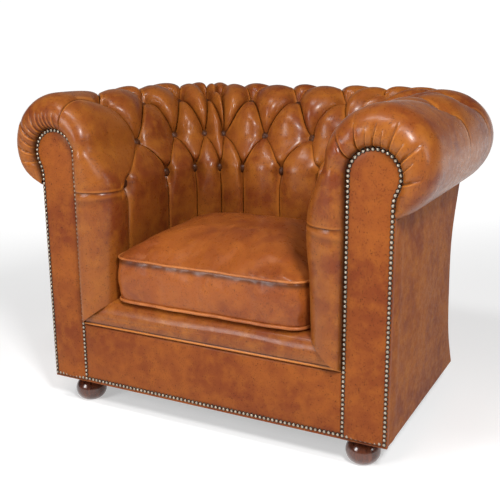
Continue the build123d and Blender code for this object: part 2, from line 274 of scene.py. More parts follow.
def nail_metal(name):
    """Domes: pale crown facing the front, burnished metal with a painted highlight; near black round the
    rim, patina with painted shade.
    """
    n = Nodes(bpy.data.materials.new(name))
    way = n.add("SeparateXYZ")
    n.link(n.add("NewGeometry").outputs["Normal"], way.inputs["Vector"])
    # colour by how far the normal faces the front: pale crown partly painted highlight, dark rim partly
    # painted shade
    crown = n.remap(way.outputs["Y"], -0.96, -0.74, 1.0, 0.0)
    wear = n.remap(n.noise(230.0, 3.0, 0.6), 0.3, 0.7, 0.55, 1.0)
    colour = n.mix(n.math("MULTIPLY", crown, wear), (0.020, 0.012, 0.008), (0.52, 0.44, 0.34))
    n.bump((n.noise(900.0, 2.0), 0.12, 0.15 * MM))
    n.set(Metallic=0.75)
    return n.finish(colour, n.remap(wear, 0.55, 1.0, 0.46, 0.30))


def painted_floor(name):
    """Matt pale paint with a painted glow, stronger further behind the chair so that it meets the backdrop.
    """
    n = Nodes(bpy.data.materials.new(name))
    colour = n.mix(n.noise(3.0, 2.0), (0.66, 0.66, 0.66), (0.68, 0.68, 0.68))
    n.set(Specular_IOR_Level=0.1, Emission_Color=(1.0, 1.0, 1.0, 1.0))
    # painted light: the floor glows, more strongly the further it lies along the view
    n.link(n.remap(n.along(AWAY), 0.2, 3.0, 0.42, 0.95), n.shader.inputs["Emission Strength"])
    return n.finish(colour, n.remap(n.noise(5.0, 2.0), 0.3, 0.7, 0.85, 0.95))


TAN = {"base": (0.255, 0.072, 0.012), "dark": (0.160, 0.033, 0.008), "light": (0.330, 0.108, 0.014)}
FACING = {"base": (0.245, 0.062, 0.011), "dark": (0.160, 0.032, 0.008), "light": (0.300, 0.086, 0.012)}
SEAT = {"base": (0.285, 0.074, 0.014), "dark": (0.185, 0.040, 0.010), "light": (0.340, 0.098, 0.016)}
PIPING = {"base": (0.400, 0.125, 0.028), "dark": (0.270, 0.068, 0.016), "light": (0.480, 0.170, 0.045)}
# button leather: a darkened copy of the tan, painted shade of the wells the buttons sit in
SHADED_BUTTON = {"base": (0.110, 0.034, 0.012), "dark": (0.060, 0.018, 0.008), "light": (0.150, 0.050, 0.018)}
FOOT = {"dark": (0.035, 0.008, 0.004), "light": (0.120, 0.030, 0.011)}
BEECH = {"dark": (0.36, 0.22, 0.11), "light": (0.60, 0.42, 0.25)}
HESSIAN = {"dark": (0.20, 0.13, 0.06), "light": (0.60, 0.46, 0.28)}
PLATFORM = {"dark": (0.030, 0.016, 0.010), "light": (0.13, 0.075, 0.045)}
DUST_CLOTH = {"dark": (0.006, 0.006, 0.006), "light": (0.035, 0.035, 0.035)}
OUTSIDE_LEATHER = leather("outside_leather", **TAN, gloss=(0.42, 0.55), shine=0.05, coat=0.0)
MATERIALS = {
    "tan_leather": leather("tan_leather", **TAN),
    "facing_leather": leather("facing_leather", **FACING, gloss=(0.36, 0.50), shine=0.10, coat=0.03),
    "seat_leather": leather("seat_leather", **SEAT),
    "piping_leather": leather("piping_leather", **PIPING, gloss=(0.34, 0.5)),
    "button_leather": leather("button_leather", **SHADED_BUTTON, gloss=(0.30, 0.42), shine=0.14, coat=0.0),
    "antique_nail": nail_metal("antique_nail"),
    "polished_wood": wood("polished_wood", **FOOT, gloss=(0.14, 0.26), scale=45.0, coat=0.6),
    "hardwood": wood("hardwood", **BEECH, gloss=(0.55, 0.75), scale=30.0, coat=0.0),
    "foam": foam("foam", (0.66, 0.60, 0.42), (0.80, 0.76, 0.62)),
    "hessian": woven("hessian", **HESSIAN, threads=260.0, sheen=0.1),
    "platform_cloth": woven("platform_cloth", **PLATFORM, threads=420.0, sheen=0.2),
    "dust_cloth": woven("dust_cloth", **DUST_CLOTH, threads=500.0, sheen=0.1),
    "spring_wire": metal("spring_wire", (0.42, 0.42, 0.43), (0.16, 0.15, 0.15), (0.28, 0.5)),
    "plated_steel": metal("plated_steel", (0.68, 0.68, 0.66), (0.42, 0.42, 0.40), (0.25, 0.45)),
    "zip_brass": metal("zip_brass", (0.55, 0.38, 0.16), (0.22, 0.14, 0.06), (0.3, 0.5)),
}


def dress_frame():
    """Give every CAD node the procedural material of its own slot."""
    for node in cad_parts.values():
        for slot in node.material_slots:
            slot.material = MATERIALS[slot.material.name.split(".")[0]]


# ------------------------------------------------------------------ meshes
def spaced(count):
    """0 to 1, closer together at both ends."""
    return (1 - np.cos(np.pi * np.arange(count + 1) / count)) / 2


def grid_faces(rows, columns, closed=False):
    """Quads of a grid stored row after row; closed joins its last column to the first."""
    faces = []
    for i in range(rows - 1):
        here, there = i * columns, (i + 1) * columns
        for j in range(columns if closed else columns - 1):
            k = (j + 1) % columns
            faces.append((here + j, here + k, there + k, there + j))
    return faces


def bell(distance, width):
    return np.exp(-((distance / width) ** 2))


class Patchwork:
    """Grids that share their edges, gathered into one welded mesh."""

    def __init__(self):
        self.points, self.rub, self.recess, self.faces = [], [], [], []
        self.count = 0

    def add(self, points, outward, rub=0.0, recess=0.0):
        """A grid (rows, columns, 3) whose faces are turned to look along outward."""
        rows, columns = points.shape[:2]
        across = np.gradient(points, axis=1)
        along = np.gradient(points, axis=0)
        normals = np.cross(across, along)
        facing = np.sum(normals * outward)
        faces = grid_faces(rows, columns)
        if facing < 0:
            faces = [face[::-1] for face in faces]
        self.faces += [tuple(v + self.count for v in face) for face in faces]
        self.points.append(points.reshape(-1, 3))
        # painted highlight and painted shade of every point
        self.rub.append(np.broadcast_to(rub, points.shape[:2]).reshape(-1))
        self.recess.append(np.broadcast_to(recess, points.shape[:2]).reshape(-1))
        self.count += rows * columns

    def mesh(self, name):
        points = np.concatenate(self.points)
        weld_distance = 0.02 * MM
        keys = np.round(points / weld_distance).astype(np.int64)
        _, first, place = np.unique(keys, axis=0, return_index=True, return_inverse=True)
        place = place.reshape(-1)
        faces = []
        for face in self.faces:
            ring = [int(place[v]) for v in face]
            ring = [v for i, v in enumerate(ring) if v != ring[i - 1]]
            if len(set(ring)) == len(ring) >= 3:
                faces.append(ring)
        made = new_mesh(name, points[first], faces)
        # stored as the painted highlight and painted shade the leather's nodes read
        for key, values in (("rub", self.rub), ("recess", self.recess)):
            shade(made, key, np.concatenate(values)[first])
        return made


def new_mesh(name, points, faces):
    mesh = bpy.data.meshes.new(name)
    mesh.from_pydata([tuple(p) for p in points], [], faces)
    mesh.validate()
    made = bpy.data.objects.new(name, mesh)
    bpy.context.scene.collection.objects.link(made)
    return made


def shade(piece, name, values):
    """Store one number a vertex, which the leather's nodes read by name."""
    layer = piece.data.attributes.new(name, "FLOAT", "POINT")
    layer.data.foreach_set("value", np.clip(values, 0, 1).astype(np.float32))


def freeze(piece):
    """Apply the piece's modifiers."""
    graph = bpy.context.evaluated_depsgraph_get()
    mesh = bpy.data.meshes.new_from_object(piece.evaluated_get(graph))
    piece.modifiers.clear()
    piece.data = mesh


def thicken(piece, thickness, offset=-1.0):
    solid = piece.modifiers.new("leather", "SOLIDIFY")
    solid.thickness = thickness
    solid.offset = offset
    freeze(piece)


def soften(piece, levels=1):
    smooth = piece.modifiers.new("soft", "SUBSURF")
    smooth.levels = levels
    smooth.render_levels = levels
    freeze(piece)


def hand_over(piece, material, body, *nodes, sharp=None, fill=None, look=None):
    """Finish a piece: material and slot, shading, the body it rides on and the nodes it stands for."""
    piece.data.materials.clear()
    piece.data.materials.append(look or MATERIALS[material])
    piece.data.polygons.foreach_set("use_smooth", [True] * len(piece.data.polygons))
    if sharp is not None:
        piece.data.set_sharp_from_angle(angle=math.radians(sharp))
    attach(piece, body)
    if nodes:
        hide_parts(*nodes)


def smooth_curve(knots):
    """Cubic curve through (parameter, x, y) knots, evaluated on arrays."""
    knots = np.array(sorted(knots), float)
    at, values = knots[:, 0], knots[:, 1:]
    slopes = np.gradient(values, at, axis=0)

    def evaluate(parameter):
        p = np.clip(parameter, at[0], at[-1])
        i = np.clip(np.searchsorted(at, p, side="right") - 1, 0, len(at) - 2)
        width = at[i + 1] - at[i]
        t = ((p - at[i]) / width)[..., None]
        width = width[..., None]
        h0, h1 = 1 - 3 * t**2 + 2 * t**3, 3 * t**2 - 2 * t**3
        g0, g1 = t * (1 - t) ** 2, -(t**2) * (1 - t)
        return h0 * values[i] + h1 * values[i + 1] + width * (g0 * slopes[i] + g1 * slopes[i + 1])

    return evaluate


# ------------------------------------------------------------------ buttoned padding
# Down the section runs v: the button rows are v = 0 (outer top), 1 (inner top), 2 (under the roll)
# and 3 (inside face); 4 is the seat platform, and -2 the underside of the roll at the outside panel.
# Along the plan runs u: 0 to 1 up the left arm, 1 to 2 round its corner, 2 to 4 across the back,
# then the right arm the same way down to 6.
ROW_SEATS = ((178 * MM, 712 * MM), (110 * MM, 714 * MM), (50 * MM, 634 * MM), (9 * MM, 553 * MM))
ROW_FACING = ((0.56, 0.83), (-0.44, 0.90), (-0.95, 0.31), (-1.0, 0.0))
HALF_ROWS = (
    (0.585, 0.94, 1.55, 1.84, 2.2, 2.755),
    (0.429, 0.904, 1.427, 1.76, 1.92, 2.375, 3.0),
    (0.675, 1.243, 1.66, 1.91, 2.615),
    (0.37, 0.958, 1.455, 1.80, 2.19, 3.0),
)
ROWS = [list(half) + [6 - u for u in reversed(half) if u < 3] for half in HALF_ROWS]
UNDER_ROW_1 = (0, 1, 2, 3, 3, 4, 5, 6, 6, 7, 8, 9)
OVER_ROW_2 = (1, 2, 3, 5, 6, 7, 9, 10, 11)
ARM_END = 1.86
STEPS = 22
PLUMP = 0.50
UPPER_PLEAT, MIDDLE_PLEAT, LOWER_PLEAT = 0.62, 0.34, 0.34
FOOT_PLEAT = 0.42
CREASE = 0.16
PIT_RADIUS = 13 * MM
PUCKER_REACH = 30 * MM
PUCKER_HEIGHT = 0.030
PUCKERS = 11
UNDERSIDE_KNOTS = ((-2.5, 125 * MM, UNDERSIDE), (-2.12, 165 * MM, UNDERSIDE))


def round_roll(angle, radius):
    """Point (outward, height) at an angle in degrees round the axis of the roll."""
    way = math.radians(angle)
    return ROLL_CENTRE_OUT + radius * math.cos(way), ROLL_HEIGHT + radius * math.sin(way)


def crest_knots():
    """Outermost line of the padding, from the underside over the roll to the platform."""
    knots = list(UNDERSIDE_KNOTS)
    for v in np.arange(-2.0, 2.01, 0.25):
        angle = np.interp(v, (-2, 0, 1, 2), (-72.0, 56.0, 116.0, 184.0))
        radius = ROLL_RADIUS + max(0.0, v - 1) * 4 * MM
        knots.append((v, *round_roll(angle, radius)))
    inside = (
        (2.35, 5, 616), (2.7, -15, 582), (3.0, -23, 553), (3.3, -20, 490), (3.6, -13, 425), (4.0, -6, 284),
    )
    return knots + [(v, n * MM, z * MM) for v, n, z in inside]


def well_knots():
    """Line through the button seats, where the pleats are drawn in."""
    knots = list(UNDERSIDE_KNOTS)
    outer = ((-2.0, -72, 114), (-1.6, -46, 106), (-1.0, -8, 101), (-0.5, 24, 97), (-0.25, 40, 91))
    for v, angle, radius in outer:
        knots.append((v, *round_roll(angle, radius * MM)))
    knots += [(row, *seat) for row, seat in enumerate(ROW_SEATS)]
    return knots + [(3.35, 10 * MM, 470 * MM), (4.0, 8 * MM, PLATFORM_TOP)]


crest = smooth_curve(crest_knots())
well = smooth_curve(well_knots())


def in_plan(u, section):
    """Points of sections (outward, height) at places u along the plan."""
    outward, height = section[..., 0], section[..., 1]
    right = u > 3
    t = np.where(right, 6 - u, u)
    half = ARM_INNER + outward
    depth = SEAT_DEPTH + outward
    radius = INNER_CORNER_RADIUS + CORNER_GROWTH * outward
    turn_x, turn_depth = half - radius, depth - radius
    angle = np.clip(t - 1, 0, 1) * np.pi / 2
    x = np.where(t <= 2, turn_x + radius * np.cos(angle), turn_x * (3 - t))
    y = np.where(t <= 1, ROLL_START + t * (turn_depth - ROLL_START), turn_depth + radius * np.sin(angle))
    return np.stack([np.where(right, x, -x), FRONT + y, height], axis=-1)


def place_at_depth(depth, outward):
    """The arm's u at a depth behind the facings."""
    turn_depth = SEAT_DEPTH + outward - INNER_CORNER_RADIUS - CORNER_GROWTH * outward
    return (depth - ROLL_START) / (turn_depth - ROLL_START)


def seat_distances(u, v):
    """Distance from every button seat within reach, and the direction to it, over the leather."""
    metres_per_u = np.interp(np.minimum(u, 6 - u), (0.9, 1.1, 1.9, 2.1), (0.33, 0.24, 0.24, 0.19))
    metres_per_v = 105 * MM
    for row, places in enumerate(ROWS):
        across_v = (v - row) * metres_per_v
        for place in places:
            across_u = (u - place) * metres_per_u
            distance = np.hypot(across_u, across_v)
            if distance.min() < 3 * PUCKER_REACH:
                yield distance, np.arctan2(across_v, across_u), place + row


def raised(u, v, height):
    """Surface points between the wells (height 0) and the crests (height 1), and the way out.

    Round each button the leather goes down into an open pit, with fine puckers running out of it."""
    pucker = 0.0
    for distance, angle, phase in seat_distances(u, v):
        outside_pit = 1 - bell(distance, PIT_RADIUS)
        height = height * outside_pit
        ring = bell(distance, PUCKER_REACH) * outside_pit
        pucker = pucker + PUCKER_HEIGHT * ring * np.sin(PUCKERS * angle + 9 * phase)
    height = height + pucker
    low, high = well(v), crest(v)
    section = low + height[..., None] * (high - low)
    nudge = np.array([1e-4, -1e-4])
    way = in_plan(u, high) - in_plan(u, low + nudge)
    return in_plan(u, section), way


def pleat(x):
    """Rise of a pleat between its two buttons."""
    return np.clip(4 * x * (1 - x), 0, 1) ** 0.6


def outer_pleat(run):
    """Rise of the pleats that run down the outer side of the roll and fade out."""
    return (1 - np.exp(-run / 0.12)) * (0.80 + 0.18 * np.clip(run / 0.9, 0, 1))


def foot_pleat(run):
    """Rise of the pleats that run straight down to the seat platform."""
    return FOOT_PLEAT * (1 - np.exp(-run / 0.12))


def swell(distance):
    return np.clip(distance, 0, 1) ** PLUMP


def painted_light_marks(edge_distance, height):
    """Painted highlight by the pleat edges and painted shade in the folds, from the distance to the nearest
    pleat and the height.
    """
    # painted highlight a little inside each pleat edge, on the raised leather
    rub = bell(edge_distance - 0.030, 0.017) * np.clip(1.4 * height, 0, 1)
    # painted shade in the pleats, and low down round the buttons
    recess = np.clip(1 - edge_distance / 0.016, 0, 1) ** 1.5 * 0.85
    recess = np.maximum(recess, np.clip(1.15 - height / 0.34, 0, 1) ** 1.1)
    return 0.75 * rub, recess


def diamond(work, top, left, right, bottom, row, upper, lower):
    """A padded diamond between four buttons; row is the row of its top button."""
    t, s = np.meshgrid(spaced(STEPS), spaced(STEPS), indexing="ij")
    u = (1 - s) * (1 - t) * top + s * (1 - t) * right + (1 - s) * t * left + s * t * bottom
    v = row + s + t
    sag_s, sag_t = s**1.12, t**1.12
    across, down = 4 * sag_s * (1 - sag_s), 4 * sag_t * (1 - sag_t)
    dome = swell(across * down)
    near_top, near_bottom = s * t, (1 - s) * (1 - t)
    share = near_top / (near_top + near_bottom + 1e-9)
    a, b = 4 * s * (1 - s), 4 * t * (1 - t)
    off_buttons = np.clip(a + b - a * b, 0, 1)
    edge = (upper + share * (lower - upper)) * off_buttons**0.6
    ridge = bell(np.minimum(s, t) - 0.032, 0.016) * np.sqrt(off_buttons)
    height = 1 - (1 - dome) * (1 - edge) + 0.035 * ridge
    points, way = raised(u, v, height)
    nearest = np.minimum(np.minimum(s, t), np.minimum(1 - s, 1 - t))
    # painted highlight along the pleat edges, painted shade in the pleats and round the buttons
    rub, recess = painted_light_marks(np.minimum(s, t), height)
    recess = np.maximum(recess, painted_light_marks(nearest, height)[1])
    work.add(points, way, rub, recess)


def flute(work, apex, left, right, row, ends, inner_pleat, far_pleat):
    """A fluted strip: from one button, between the two of the next row, on to the edge at v = ends."""
    first, second = spaced(STEPS), np.linspace(0, 1, STEPS + 1)[1:]
    t1 = np.concatenate([first, np.ones(len(second))])
    t2 = np.concatenate([np.zeros(len(first)), second])
    step = 1 if ends > row else -1
    t1, s = np.meshgrid(t1, spaced(STEPS), indexing="ij")
    t2 = np.repeat(t2[:, None], s.shape[1], axis=1)
    u_left = apex + t1 * (left - apex)
    u_right = apex + t1 * (right - apex)
    u = u_left + s * (u_right - u_left)
    v = row + step * t1 + t2 * (ends - row - step)
    run = np.abs(v - row - step * t1)
    across = 4 * s * (1 - s)
    dome = swell(across * t1 * (2 - t1))
    edge = np.where(t2 > 0, far_pleat(run), inner_pleat * pleat(t1))
    height = 1 - (1 - dome) * (1 - edge)
    points, way = raised(u, v, height)
    nearest = np.minimum(s, 1 - s)
    # painted highlight and painted shade, fading down the strip
    rub, recess = painted_light_marks(nearest, height)
    fade = np.where(t2 > 0, np.exp(-run / 1.1), 1.0)
    work.add(points, way, rub * fade, recess * (0.35 + 0.65 * fade))


def front_line(v):
    """u of the line where the tufted leather turns over the front of the arm."""
    return place_at_depth(FRONT_SEAM_DEPTH, crest(v)[..., 0])


def front_rows():
    """The v of every row of the front line, in its three stretches: over the roll, at the side, below."""
    over = np.concatenate([1 - spaced(STEPS), -np.linspace(0, 1, STEPS + 1)[1:] * 2.5])
    side = 1 + 2 * spaced(2 * STEPS)
    below = 3 + spaced(STEPS)
    return over, side, below


def crease_depth(v, mirrored):
    """Share of the padding that the arm front's creases lose; the right arm's upper one is faint."""
    return np.where((v < 2) & mirrored, 0.2, 1.0) * CREASE


def crease_drop(v, mirrored):
    """How far the lower crease runs below the button it comes from."""
    return (32 * MM if mirrored else 8 * MM) * bell(v - 3, 0.42)


def front_cells(work, mirrored):
    """The arm's front leather, between the front line and its first buttons."""
    over, side, below = front_rows()
    seats = [row[0] for row in ROWS]
    cross = np.linspace(0, 1, STEPS + 1)

    def cell(v_row, u_edge, dome_down, edge_of_row):
        v = np.repeat(v_row[:, None], len(cross), axis=1)
        s = np.repeat(cross[None, :], len(v_row), axis=0)
        u0 = front_line(v)
        u = u0 + s * (u_edge[:, None] - u0)
        dome = swell(np.clip(1 - s**3, 0, 1) * dome_down[:, None])
        blend = s**1.5
        rise = (1 - crease_depth(v, mirrored)) * (1 - blend) + blend * edge_of_row[:, None]
        height = 1 - (1 - dome) * (1 - rise)
        points, way = raised(6 - u if mirrored else u, v, height)
        points[..., 2] -= crease_drop(v, mirrored) * (1 - s) ** 1.5
        to_crease = dome_down[:, None] / 4
        # painted highlight and painted shade, the shade strongest at the crease
        rub, recess = painted_light_marks(np.minimum(1 - s, to_crease), height)
        soft = np.clip(s * 1.6 + 0.25, 0, 1)
        work.add(points, way, rub, recess * np.where(1 - s < to_crease, 1.0, soft))

    u_over = np.where(over > 0, seats[1] + (1 - over) * (seats[0] - seats[1]), seats[0])
    up = np.clip(1 - over, 0, 1)
    run = np.clip(-over, 0, 3)
    edge = np.where(over < 0, outer_pleat(run), UPPER_PLEAT * pleat(up))
    cell(over, u_over, np.clip(up * (2 - up), 0, 1), edge)
    half = side - 1
    u_side = np.interp(half, (0, 1, 2), seats[1:4])
    edge = np.where(half < 1, MIDDLE_PLEAT * pleat(half), LOWER_PLEAT * pleat(half - 1))
    cell(side, u_side, half * (2 - half), edge)
    down = below - 3
    cell(below, np.full(len(below), seats[3]), np.clip(down * (2 - down), 0, 1), foot_pleat(down))


def keyhole_point(v):
    """Where each row of the front line is nailed down, on the outline of the facing."""
    joint = math.degrees(NECK_JOINT)
    out = np.zeros(v.shape + (2,))
    head = np.radians(np.interp(v, (-1.2, 0.0, 1.0, 2.2), (joint, 52.0, 124.0, 180.0)))
    out[..., 0] = HEAD_X + HEAD_RADIUS * np.cos(head)
    out[..., 1] = HEAD_Z + HEAD_RADIUS * np.sin(head)
    straight = v > 2.2
    out[straight, 0] = FACING_INNER
    out[straight, 1] = np.interp(v[straight], (2.2, 3.0, 4.0), (HEAD_Z, 553 * MM, 222 * MM))
    neck = (v <= -1.2) & (v > -1.7)
    turn = np.radians(np.interp(v, (-1.7, -1.2), (180.0, 180.0 + joint)))
    out[neck, 0] = NECK_X + NECK_RADIUS * np.cos(turn[neck])
    out[neck, 1] = NECK_Z + NECK_RADIUS * np.sin(turn[neck])
    last = v <= -1.7
    out[last, 0] = FACING_OUTER
    out[last, 1] = np.interp(v[last], (-2.5, -1.7), (UNDERSIDE, NECK_Z))
    return out


# Pleats that gather the leather round the head of each facing: (v, depth in mm, reach, width)
RIGHT_PLEATS = (
    (1.50, 8.0, 0.85, 0.030), (0.98, 8.5, 0.62, 0.026), (0.56, 8.0, 0.62, 0.026), (0.33, 3.5, 0.45, 0.020),
    (0.10, 8.0, 0.75, 0.028), (-0.12, 4.0, 0.50, 0.022), (-0.36, 8.0, 0.80, 0.030), (-0.95, 7.0, 0.70, 0.03),
    (0.76, 3.5, 0.45, 0.020), (-0.62, 4.0, 0.5, 0.025),
)
LEFT_PLEATS = (
    (0.80, 4.6, 0.50, 0.028), (0.62, 4.0, 0.45, 0.022), (0.46, 4.6, 0.50, 0.022), (0.32, 4.0, 0.45, 0.02),
    (0.18, 4.6, 0.60, 0.022), (0.02, 5.2, 0.70, 0.026), (-0.16, 4.2, 0.55, 0.022), (-0.36, 6.0, 0.95, 0.03),
    (-0.62, 4.4, 0.55, 0.026), (-0.86, 5.2, 0.65, 0.03), (-1.12, 4.4, 0.55, 0.028),
)


def between_creases(v):
    """0 at the creases of the arm front and 1 between them, and 1 all the way over the roll."""
    down = np.where(v <= 0, 1.0, np.clip((1 - v) * (1 + v), 0, 1))
    down = np.where(v >= 1, np.clip((v - 1) * (3 - v), 0, 1), down)
    return np.where(v > 3, np.clip((v - 3) * (5 - v), 0, 1), down)


def front_roll(work, mirrored):
    """Leather turned over the front of the arm and gathered to the facing."""
    over, side, below = front_rows()
    v = np.concatenate([over[::-1], side[1:], below[1:]])
    fine = np.linspace(-1.5, 1.9, 300)
    v = np.unique(np.concatenate([v, fine]))
    exact = np.concatenate([over, side, below])
    to_shared = np.abs(exact[None, :] - v[:, None]).min(axis=1)
    v = v[(v >= -2) & ((to_shared == 0) | (to_shared > 0.004))]
    rings = 34
    rim = crest(v)
    start = 1 - (1 - swell(between_creases(v))) * crease_depth(v, mirrored)
    low = well(v)
    rim = low + start[:, None] * (rim - low)
    rim[:, 1] -= crease_drop(v, mirrored)
    nailed = keyhole_point(v)
    nailed[:, 0] -= ARM_INNER
    nailed[:, 1] -= crease_drop(v, mirrored)
    inset = 2.0 * MM
    centre = np.stack([np.full(len(v), HEAD_X - ARM_INNER), np.minimum(nailed[:, 1], HEAD_Z)], axis=-1)
    toward = centre - nailed
    toward /= np.maximum(np.linalg.norm(toward, axis=1), 1e-6)[:, None]
    nailed = nailed + inset * toward
    span = rim - nailed
    width = np.linalg.norm(span, axis=1)
    bulge = (-ROLL_START - 1 * MM) * np.clip(width / (62 * MM), 0, 1) ** 1.3
    rise_share = np.clip(26 * MM / np.maximum(width, 1e-4), 0, 0.5)
    angle = np.linspace(0, np.pi, rings + 1)[None, :]
    front_half = angle <= np.pi / 2
    a = np.where(front_half, angle, np.pi - angle)
    rise = rise_share[:, None]
    fall = 1 - np.cos(a)
    across = np.where(front_half, rise * fall, 1 - (1 - rise) * fall)
    root = 6 * MM
    depth_near = root - (root + bulge)[:, None] * np.sin(a)
    depth_far = FRONT_SEAM_DEPTH - (FRONT_SEAM_DEPTH + bulge)[:, None] * np.sin(a) ** 0.9
    depth = np.where(front_half, depth_near, depth_far)
    rub = np.zeros(across.shape)
    recess = np.zeros(across.shape)
    for at, deep, reach, wide in (RIGHT_PLEATS if mirrored else LEFT_PLEATS):
        lean = at + 0.10 * across * np.sin(7 * at)
        offset = (v[:, None] - lean) / (wide * (0.6 + 0.5 * across))
        fade = np.clip(1 - across / reach, 0, 1) ** 0.8
        fold = np.where(offset < 0, bell(offset, 1.0), bell(offset, 2.6))
        lip = 0.25 * bell(offset + 2.2, 1.5)
        depth = depth + deep * MM * fade * (fold - lip)
        # painted highlight on the lip of each pleat and painted shade in its fold
        rub = np.maximum(rub, 0.8 * fade * bell(offset + 1.9, 0.8))
        recess = np.maximum(recess, 0.75 * fade**0.5 * bell(offset, 0.6))
    upper = 0.15 if mirrored else 1.0
    crease = upper * bell(v - 1, 0.016) + bell(v - 3, 0.014) + 0.8 * bell(v - 3.07, 0.014)
    crease_fade = np.clip(1.25 - 0.4 * (1 - across), 0, 1)
    depth = depth + 3.0 * MM * crease[:, None] * np.sin(angle) * crease_fade
    # painted shade in the creases
    recess = np.maximum(recess, 0.45 * crease[:, None] * crease_fade)
    edge_glow = upper * bell(v - 1.03, 0.010) + bell(v - 3.035, 0.010) + bell(v - 2.97, 0.010)
    rub = np.maximum(rub, 0.7 * edge_glow[:, None] * crease_fade)
    # painted shade where the leather meets the nailed edge
    recess = np.maximum(recess, 0.9 * bell(across * width[:, None], 5 * MM))
    section = nailed[:, None, :] + across[..., None] * span[:, None, :]
    x = ARM_INNER + section[..., 0]
    points = np.stack([x if mirrored else -x, FRONT + depth, section[..., 1]], axis=-1)
    core = np.array([HEAD_X if mirrored else -HEAD_X, FRONT + 60 * MM, 0.0])
    way = points - core
    way[..., 2] = points[..., 2] - np.minimum(points[..., 2], HEAD_Z)
    work.add(points, way, np.clip(rub, 0, 1), np.clip(recess, 0, 1))


def tufted_covers():
    """The buttoned leather of both arms and of the back."""
    works = {"left": Patchwork(), "right": Patchwork(), "back": Patchwork()}

    def home(*places):
        middle = sum(places) / len(places)
        if middle < ARM_END:
            return works["left"]
        return works["right"] if middle > 6 - ARM_END else works["back"]

    outer, inner, under, face = ROWS
    for i, low in enumerate(UNDER_ROW_1):
        corners = (outer[i], inner[i], inner[i + 1], under[low])
        diamond(home(*corners), *corners, 0, UPPER_PLEAT, MIDDLE_PLEAT)
    for j, high in enumerate(OVER_ROW_2):
        corners = (inner[high], under[j], under[j + 1], face[j + 1])
        diamond(home(*corners), *corners, 1, MIDDLE_PLEAT, LOWER_PLEAT)
    for i in range(len(outer) - 1):
        corners = (inner[i + 1], outer[i], outer[i + 1])
        flute(home(*corners), *corners, 1, -2.5, UPPER_PLEAT, outer_pleat)
    for j in range(len(face) - 1):
        corners = (under[j], face[j], face[j + 1])
        flute(home(*corners), *corners, 2, 4.0, LOWER_PLEAT, foot_pleat)
    for side, mirrored in (("left", False), ("right", True)):
        front_cells(works[side], mirrored)
        front_roll(works[side], mirrored)
    for side, work in works.items():
        if side == "back":
            name, nodes = "inside_back_leather", ("inside_back_cover", "back_padding")
        else:
            name = f"inside_arm_leather_{side}"
            nodes = (f"inside_arm_cover_{side}", f"arm_padding_{side}")
        piece = work.mesh(name)
        thicken(piece, LEATHER)
        hand_over(piece, "tan_leather", BODY, *nodes, sharp=62, fill=0.8)


def lathe(profile, turns):
    """Points and faces of a profile of (radius, height) turned about local z."""
    angles = np.arange(turns) / turns * 2 * np.pi
    points = [(r * math.cos(a), r * math.sin(a), h) for r, h in profile for a in angles]
    faces = grid_faces(len(profile), turns, closed=True)
    points.append((0.0, 0.0, profile[-1][1]))
    last = (len(profile) - 1) * turns
    faces += [(last + j, last + (j + 1) % turns, len(points) - 1) for j in range(turns)]
    return points, faces


def covered_buttons():
    """Leather-covered buttons pulled down into the wells."""
    profile = (
        (4, -5), (9.2, -3.5), (11.0, 0), (11.2, 1.2), (10.2, 3.4), (7.8, 5.2), (4.4, 6.3), (1.6, 6.7),
    )
    lift = 0.5 * MM
    shape, shape_faces = lathe([(r * MM, h * MM) for r, h in profile], 20)
    shape = np.array(shape)
    groups = {"arm_buttons_left": [], "arm_buttons_right": [], "back_buttons": []}
    for row, places in enumerate(ROWS):
        for u in places:
            if u < ARM_END:
                groups["arm_buttons_left"].append((u, row))
            elif u > 6 - ARM_END:
                groups["arm_buttons_right"].append((u, row))
            else:
                groups["back_buttons"].append((u, row))
    for name, seats in groups.items():
        points, faces = [], []
        for u, row in seats:
            section = np.array(ROW_SEATS[row])
            facing = np.array(ROW_FACING[row])
            at = in_plan(np.array(u), section)
            out = in_plan(np.array(u), section + 0.01 * facing) - at
            z = Vector(out).normalized()
            x = z.orthogonal().normalized()
            turn = np.array(Matrix((x, z.cross(x), z)).transposed())
            faces += [tuple(v + len(points) * len(shape) for v in face) for face in shape_faces]
            points.append(shape @ turn.T + at + lift * np.array(z))
        piece = new_mesh(name + "_covered", np.concatenate(points), faces)
        # painted shade, darker towards the base of each button where it sits in its well
        shade(piece, "recess", np.tile(np.linspace(0.744, 0.31, len(shape)), len(seats)))
        hand_over(piece, "button_leather", BODY, name)


# ------------------------------------------------------------------ facings, border and lip
def keyhole_outline(inset, bottom, count=26):
    """Right facing's outline (x, z), up the outside, round the head and down the inside."""
    upright = np.linspace(bottom, NECK_Z, 2 * count, endpoint=False)
    outline = [(FACING_OUTER - inset, z) for z in upright]
    for a in np.linspace(math.pi, math.pi + NECK_JOINT, count // 2, endpoint=False):
        radius = NECK_RADIUS + inset
        outline.append((NECK_X + radius * math.cos(a), NECK_Z + radius * math.sin(a)))
    for a in np.linspace(NECK_JOINT, math.pi, 2 * count, endpoint=False):
        radius = HEAD_RADIUS - inset
        outline.append((HEAD_X + radius * math.cos(a), HEAD_Z + radius * math.sin(a)))
    outline += [(FACING_INNER + inset, z) for z in np.linspace(HEAD_Z, bottom, 3 * count)]
    return np.array(outline)


